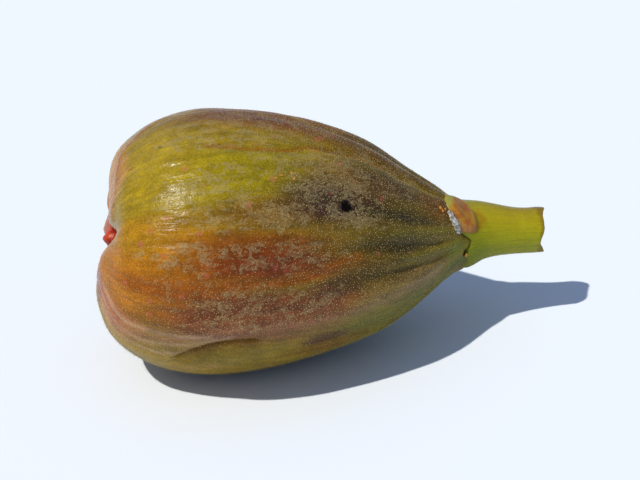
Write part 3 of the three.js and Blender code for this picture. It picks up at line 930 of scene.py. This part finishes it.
# %% [markdown]
# ## The split eye
# Between the lobes the ripe fig has split, and beads of wet red pulp show. Each bead is a small ball,
# longer along the fig than it is wide and dented by noise. The largest match the beads of the solid.
# Metaballs would melt into each other well, but their mesh can't be named and kept as easily.

# %% Balls with uneven sides
def ball(rings=14, columns=20):
    """A unit ball of rings round the x axis, as rows without its two poles."""
    up = np.linspace(0, math.pi, rings + 2)[1:-1]
    turns = np.linspace(0, 2 * math.pi, columns, endpoint=False)
    x = np.cos(up)[:, None] + 0 * turns
    y = np.sin(up)[:, None] * np.cos(turns)
    z = np.sin(up)[:, None] * np.sin(turns)
    return closed_tube(np.stack([x, y, z], axis=-1), np.array([1.0, 0, 0]), np.array([-1.0, 0, 0]))


def lumps(name, specs, rings=14, columns=20, dent=0.14, size=0.8, seed=0):
    """Joins balls into one piece. Each spec is a middle, three half sizes as rows, all in mm."""
    unit, faces = ball(rings, columns)
    points, all_faces = [], []
    for k, (middle, sizes) in enumerate(specs):
        dented = unit * (1 + dent * soft_noise(unit + 5 * k, size, seed))[:, None]
        start = sum(len(p) for p in points)
        points.append(dented @ np.asarray(sizes) + middle)
        all_faces += [tuple(start + i for i in face) for face in faces]
    return new_piece(name, np.concatenate(points), all_faces)


def before_laying(along, up, front):
    return laid(np.array([[along, -front, up]], dtype=float))[0]


PULP_BEADS = [  # along, up, front, half sizes along, across and up
    (2.6, 1.3, 1.2, 1.85, 1.5, 1.65), (2.5, -1.0, 1.3, 1.5, 1.3, 1.0), (2.9, 1.0, -1.6, 1.6, 1.4, 1.5),
    (3.0, -1.5, -1.1, 1.5, 1.4, 1.3), (3.0, 1.1, 3.0, 1.2, 1.2, 1.1), (3.2, 3.3, -0.4, 1.3, 1.0, 0.9),
    (3.1, -2.9, 0.6, 1.3, 1.2, 1.1),
]
beads = [(before_laying(*bead[:3]), np.diag(bead[3:])) for bead in PULP_BEADS]
small_rng = np.random.default_rng(3)
for _ in range(16):
    turned, off = small_rng.uniform(0, 2 * math.pi), small_rng.uniform(1.5, 4.2)
    size = small_rng.uniform(0.45, 0.8)
    middle = before_laying(2.6 + 0.12 * off, off * math.sin(turned), off * math.cos(turned))
    beads.append((middle, np.diag([size * 1.3, size, size])))
pulp = lumps("pulp", beads, dent=0.2, size=0.9, seed=2)
pulp_finish, tree, shader = new_finish("pulp")
where = add_node(tree, "ShaderNodeTexCoord").outputs["Object"]
red = map_socket(tree, noise_socket(tree, where, 1.6, 3), 0.35, 0.65)
colour = mix_socket(tree, red, rgba(pigment(120, 16, 10)), rgba(pigment(184, 66, 22)))
tree.links.new(colour, shader.inputs["Base Color"])
shader.inputs["Roughness"].default_value = 0.34
shader.inputs["Specular IOR Level"].default_value = 0.25
bump = add_node(tree, "ShaderNodeBump", {"Height": noise_socket(tree, where, 0.4), "Distance": 0.1 * MM})
tree.links.new(bump.outputs["Normal"], shader.inputs["Normal"])
pulp.data.materials.append(pulp_finish)
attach(pulp, "root")
print(len(beads), "beads of pulp,", len(pulp.data.polygons), "faces")

# %% [markdown]
# ## Scale leaves
# Three leathery scale leaves sit where the neck ends and the stalk begins. The one in view is orange,
# with a paler free lip towards the fruit. Each is a thin oval cushion whose under side dips into the
# skin, so no light shows between the two.

# %% Lay an oval leaf on the skin
LEAF = {"arc": 78.5, "half_arc": 2.85, "half_round": 3.75, "thick": 0.24}


def leaf_points(at, rings=20, columns=56):
    """A closed cushion: rings from the middle of its top over the rim to the middle of its under side."""
    turns = np.linspace(0, 2 * math.pi, columns, endpoint=False)
    reach = np.concatenate([np.linspace(0.06, 1, rings) ** 0.8, np.linspace(0.97, 0.3, 6)])
    top = np.arange(len(reach)) < rings
    out = np.where(top, LEAF["thick"] * (1 - reach**3) + 0.03, -0.25)
    u, v = reach[:, None] * np.cos(turns), reach[:, None] * np.sin(turns)
    wobble = 1 + 0.05 * np.sin(3 * turns + at) + 0.04 * np.sin(5 * turns + 2 * at)
    u, v = u * wobble, v * wobble
    across = v * LEAF["half_round"]
    arc = LEAF["arc"] + u * LEAF["half_arc"] + SCALE["skew"] * across
    radius = np.interp(arc, ARC, OUTLINE_POINTS[:, 1])
    angle = at + np.degrees(across / (0.5 * radius + 3))
    lip = 0.16 * bell(u + 0.78, 0.25) * top[:, None]
    ripple = 0.05 * soft_noise(np.stack([arc, across, 0 * arc + at], axis=-1), 1.3, 71)
    rows = surface_at(arc, angle, out[:, None] + lip + ripple * top[:, None])
    colour_axis = np.stack([u, v, top[:, None] + 0 * u], axis=-1)
    return rows, colour_axis


leaf_parts, leaf_faces, leaf_axes, leaf_ripeness = [], [], [], []
for at, _ in SCALES:
    rows, axes = leaf_points(at)
    points, faces = closed_tube(rows, rows[0].mean(axis=0), rows[-1].mean(axis=0))
    start = sum(len(p) for p in leaf_parts)
    leaf_parts.append(points)
    leaf_ripeness.append(np.full(len(points), 1.0 if at == SCALES[0][0] else 0.15))
    ends = [axes[k].mean(axis=0)[None] for k in (0, -1)]
    leaf_axes.append(np.concatenate([ends[0], axes.reshape(-1, 3), ends[1]]))
    leaf_faces += [tuple(start + i for i in face) for face in faces]
leaves = new_piece("scale_leaves", np.concatenate(leaf_parts), leaf_faces)
store(leaves, "leaf_axis", np.concatenate(leaf_axes), "FLOAT_VECTOR")
store(leaves, "ripeness", np.concatenate(leaf_ripeness))
leaf_finish, tree, shader = new_finish("scale_leaf")
where = add_node(tree, "ShaderNodeTexCoord").outputs["Object"]
axis = add_node(tree, "ShaderNodeSeparateXYZ", {"Vector": attribute_socket(tree, "leaf_axis", "Vector")})
grain = noise_socket(tree, where, 0.9, 4)
edge = math_socket(tree, "ADD", axis.outputs["X"], math_socket(tree, "MULTIPLY", axis.outputs["Y"], 1.1))
edge = math_socket(tree, "ADD", edge, math_socket(tree, "MULTIPLY", grain, 0.5))
amount = map_socket(tree, grain, 0.35, 0.65)
colour = mix_socket(tree, amount, rgba(pigment(154, 84, 10)), rgba(pigment(168, 118, 24)))
colour = mix_socket(tree, map_socket(tree, edge, -0.85, -0.5, 1, 0), colour, rgba(pigment(150, 140, 50)))
rim = math_socket(tree, "ADD", axis.outputs["X"], math_socket(tree, "MULTIPLY", grain, 0.4))
colour = mix_socket(tree, map_socket(tree, rim, 0.75, 1.1, 0, 0.6), colour, rgba(pigment(170, 134, 40)))
colour = mix_socket(tree, attribute_socket(tree, "ripeness"), rgba(pigment(106, 102, 32)), colour)
tree.links.new(colour, shader.inputs["Base Color"])
shader.inputs["Roughness"].default_value = 0.38
bump = add_node(tree, "ShaderNodeBump", {"Height": noise_socket(tree, where, 0.35, 3), "Distance": 0.05 * MM})
tree.links.new(bump.outputs["Normal"], shader.inputs["Normal"])
leaves.data.materials.append(leaf_finish)
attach(leaves, "root")
print("three scale leaves,", len(leaves.data.polygons), "faces")

# %% [markdown]
# ## The cut end of the stalk
# A knife left a slightly hollow, fibrous face with a darker ring under the rind. It is a shallow dish
# over the end of the skin, with rings of its own and a rim that is a little torn.

# %% Cap the stalk
def cap_rows(rings=16, columns=72):
    turns = np.linspace(0, 360, columns, endpoint=False)
    reach = np.concatenate([[0.55, 0.8, 0.99], np.linspace(0.96, 0.06, rings)])
    x = np.concatenate([[-1.3, -1.0, -0.5], np.full(rings, -0.02)])
    r = END_RADIUS * reach[:, None] * (1 + 0 * turns)
    a = np.radians(turns)
    spots = np.stack([r * np.cos(a), r * np.sin(a), x[:, None] + 0 * r], axis=-1)
    rough = 0.09 * soft_noise(spots, 0.7, 81) + 0.06 * soft_noise(spots, 0.35, 83)
    dish = -0.16 * np.cos(np.clip(r / END_RADIUS, 0, 1) * math.pi * 1.5) ** 2
    face = (np.arange(len(reach)) >= 3)[:, None]
    along = END_ALONG + x[:, None] + reach[:, None] * cut_edge(turns) + np.where(face, rough + dish, 0)
    return laid(from_axis(along, r, turns[None, :] + 0 * r)), r / END_RADIUS


cap_points, cap_reach = cap_rows()
cap = new_piece("cut_end", *closed_tube(cap_points, cap_points[0].mean(axis=0), cap_points[-1].mean(axis=0)))
store(cap, "reach", np.concatenate([[0], cap_reach.ravel(), [0]]))
cap_finish, tree, shader = new_finish("cut_end")
where = add_node(tree, "ShaderNodeTexCoord").outputs["Object"]
reach = attribute_socket(tree, "reach")
wavy = math_socket(tree, "ADD", reach, math_socket(tree, "MULTIPLY", noise_socket(tree, where, 0.6), 0.14))
amount = map_socket(tree, wavy, 0.3, 0.5)
colour = mix_socket(tree, amount, rgba(pigment(196, 184, 132)), rgba(pigment(176, 160, 86)))
colour = mix_socket(tree, map_socket(tree, wavy, 0.86, 1.0), colour, rgba(pigment(158, 144, 50)))
tree.links.new(colour, shader.inputs["Base Color"])
shader.inputs["Roughness"].default_value = 0.7
cap.data.materials.append(cap_finish)
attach(cap, "root")
print("cut end:", len(cap.data.polygons), "faces")

# %% [markdown]
# ## Pores and hairs
# Hundreds of pale pores dot the skin, most of all on the neck, and very short hairs catch the light along
# its edge. Both are grown with Geometry Nodes: points are scattered over the skin where an attribute
# allows them, and each gets a small copy of one shape. Placing them by hand would take days, and a
# particle system can't read the attributes as simply.

# %% A node group that grows small shapes on the skin
def growing_group(name, density, finish, seed, sides):
    group = bpy.data.node_groups.new(name, "GeometryNodeTree")
    face = group.interface
    face.new_socket("Geometry", in_out="INPUT", socket_type="NodeSocketGeometry")
    for label in ("Spacing", "Most per square metre", "Smallest", "Largest", "Height", "Lean"):
        face.new_socket(label, in_out="INPUT", socket_type="NodeSocketFloat")
    face.new_socket("Geometry", in_out="OUTPUT", socket_type="NodeSocketGeometry")
    given = group.nodes.new("NodeGroupInput").outputs
    allowed = add_node(group, "GeometryNodeInputNamedAttribute", {"Name": density}, data_type="FLOAT")
    scatter = add_node(group, "GeometryNodeDistributePointsOnFaces", {
        "Mesh": given["Geometry"], "Distance Min": given["Spacing"], "Seed": seed,
        "Density Max": given["Most per square metre"], "Density Factor": allowed.outputs["Attribute"],
    }, distribute_method="POISSON")
    shape = add_node(group, "GeometryNodeMeshCone", {
        "Vertices": sides, "Radius Top": 0.0, "Radius Bottom": 1.0, "Depth": 2.0}).outputs["Mesh"]
    smooth_shape = add_node(group, "GeometryNodeSetShadeSmooth", {"Geometry": shape}).outputs[0]
    size = add_node(group, "FunctionNodeRandomValue", {
        2: given["Smallest"], 3: given["Largest"], "Seed": seed + 1}, data_type="FLOAT").outputs[1]
    tall = add_node(group, "ShaderNodeMath", {0: size, 1: given["Height"]}, operation="MULTIPLY").outputs[0]
    scale = add_node(group, "ShaderNodeCombineXYZ", {"X": size, "Y": size, "Z": tall}).outputs[0]
    lean = add_node(group, "FunctionNodeRandomValue", {0: (-1, -1, -1), 1: (1, 1, 1), "Seed": seed + 2},
                    data_type="FLOAT_VECTOR").outputs[0]
    lean_sockets = {0: lean, "Scale": given["Lean"]}
    leaned = add_node(group, "ShaderNodeVectorMath", lean_sockets, operation="SCALE").outputs[0]
    turned = add_node(group, "FunctionNodeRotateEuler", {
        "Rotation": scatter.outputs["Rotation"], "Rotate By": leaned}, rotation_type="EULER", space="LOCAL")
    copies = add_node(group, "GeometryNodeInstanceOnPoints", {
        "Points": scatter.outputs["Points"], "Instance": smooth_shape, "Scale": scale,
        "Rotation": turned.outputs["Rotation"]})
    real = add_node(group, "GeometryNodeRealizeInstances", {"Geometry": copies.outputs[0]})
    dressed = add_node(group, "GeometryNodeSetMaterial", {"Geometry": real.outputs[0], "Material": finish})
    out = group.nodes.new("NodeGroupOutput")
    group.links.new(dressed.outputs[0], out.inputs["Geometry"])
    return group


def grow(name, group, sizes):
    piece = bpy.data.objects.new(name, skin.data.copy())
    bpy.context.collection.objects.link(piece)
    modifier = piece.modifiers.new("grow", "NODES")
    modifier.node_group = group
    for item in group.interface.items_tree:
        if item.item_type == "SOCKET" and item.in_out == "INPUT" and item.name in sizes:
            modifier[item.identifier] = float(sizes[item.name])
    grown = piece.evaluated_get(bpy.context.evaluated_depsgraph_get())
    mesh = bpy.data.meshes.new_from_object(grown)
    piece.modifiers.clear()
    piece.data = mesh
    print(name, "has", len(mesh.polygons), "faces")
    return piece


# %% Grow the pores
pore_finish, tree, shader = new_finish("pores")
where = add_node(tree, "ShaderNodeTexCoord").outputs["Object"]
tone = map_socket(tree, noise_socket(tree, where, 5.0, 2, seed=2), 0.35, 0.65)
colour = mix_socket(tree, tone, rgba(pigment(214, 190, 104)), rgba(pigment(218, 190, 132)))
tree.links.new(colour, shader.inputs["Base Color"])
shader.inputs["Roughness"].default_value = 0.4
pore_group = growing_group("pores", "pore_density", pore_finish, 11, 5)
pores = grow("pores", pore_group, {
    "Spacing": 0.34 * MM, "Most per square metre": 5e6, "Smallest": 0.04 * MM, "Largest": 0.075 * MM,
    "Height": 0.7, "Lean": 0.0,
})
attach(pores, "root")

# %% Grow the hairs
fuzz_finish, tree, shader = new_finish("fuzz")
shader.inputs["Base Color"].default_value = rgba(pigment(176, 160, 104))
shader.inputs["Roughness"].default_value = 0.6
fuzz_group = growing_group("fuzz", "fuzz_density", fuzz_finish, 23, 3)
fuzz = grow("fuzz", fuzz_group, {
    "Spacing": 0.35 * MM, "Most per square metre": 3e6, "Smallest": 0.012 * MM, "Largest": 0.022 * MM,
    "Height": 12.0, "Lean": 0.6,
})
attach(fuzz, "root")

# %% [markdown]
# ## Dried milk and sap
# Where the scale leaf tore, the fig bled milk that dried to grey-white crumbs. A few drops of amber sap
# dried beside it and on the belly. They are small uneven balls pressed into the skin.

# %% Crumbs of milk and drops of sap
def pressed_lumps(name, spots, thick, seed):
    """Balls on the skin: each spot is arc, angle, half size along, half size round."""
    specs = []
    for arc, angle, half_arc, half_round in spots:
        middle, outer = (surface_at([arc], [angle], out)[0] for out in (0.3 * thick * half_arc, 1.0))
        normal = (outer - middle) / np.linalg.norm(outer - middle)
        ahead = surface_at([arc + 0.5], [angle], 0.0)[0] - surface_at([arc - 0.5], [angle], 0.0)[0]
        side = np.cross(normal, ahead)
        side /= np.linalg.norm(side)
        ahead = np.cross(side, normal)
        specs.append((middle, np.stack([ahead * half_arc, side * half_round, normal * thick * half_arc])))
    return lumps(name, specs, 10, 14, 0.35, 0.7, seed)


MILK = [
    (75.6, 33, 0.5, 0.45), (76.1, 36, 0.6, 0.7), (76.4, 40, 0.75, 0.6), (76.9, 43, 0.7, 0.75),
    (76.7, 46, 0.6, 0.5), (77.3, 48, 0.65, 0.6), (77.8, 45, 0.4, 0.5), (76.9, 52, 0.5, 0.45),
    (77.4, 55, 0.55, 0.5), (78.0, 57, 0.35, 0.35), (75.9, 39, 0.35, 0.4), (77.8, 51, 0.3, 0.4),
]
SAP = [
    (73.4, 30, 0.28, 0.3), (73.9, 32.5, 0.2, 0.3), (74.6, 29.5, 0.18, 0.24), (41.2, 34.2, 0.28, 0.14),
    (42.1, 33, 0.3, 0.14), (43.8, 31.5, 0.16, 0.26), (44.1, 34, 0.2, 0.22), (79.8, 99, 0.26, 0.34),
]
milk = pressed_lumps("milk_crumbs", MILK, 0.6, 4)
milk_finish, tree, shader = new_finish("milk")
where = add_node(tree, "ShaderNodeTexCoord").outputs["Object"]
dirt = map_socket(tree, noise_socket(tree, where, 0.5, 4), 0.4, 0.62)
colour = mix_socket(tree, dirt, rgba(pigment(214, 208, 194)), rgba(pigment(120, 112, 98)))
tree.links.new(colour, shader.inputs["Base Color"])
shader.inputs["Roughness"].default_value = 0.85
bump = add_node(tree, "ShaderNodeBump", {"Height": noise_socket(tree, where, 0.25, 3), "Distance": 0.15 * MM})
tree.links.new(bump.outputs["Normal"], shader.inputs["Normal"])
milk.data.materials.append(milk_finish)
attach(milk, "root")

sap = pressed_lumps("sap_drops", SAP, 0.7, 6)
sap_finish, tree, shader = new_finish("sap")
shader.inputs["Base Color"].default_value = rgba(pigment(206, 132, 40))
shader.inputs["Roughness"].default_value = 0.08
shader.inputs["IOR"].default_value = 1.5
sap.data.materials.append(sap_finish)
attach(sap, "root")
print(len(MILK), "crumbs and", len(SAP), "drops")

# %% [markdown]
# ## The surface it lies on
# A plain pale floor takes the shadow. It is only there for the picture.

# %% The floor
FLOOR_SIDE = 4
bpy.ops.mesh.primitive_plane_add(size=FLOOR_SIDE)
floor = bpy.context.object
floor.name = "floor"
floor_finish, _, floor_shader = new_finish("floor")
floor_shader.inputs["Base Color"].default_value = (0.8, 0.82, 0.84, 1)
floor_shader.inputs["Roughness"].default_value = 0.9
floor_shader.inputs["Specular IOR Level"].default_value = 0.1
floor.data.materials.append(floor_finish)
print("floor is", [round(v, 1) for v in floor.dimensions], "m")
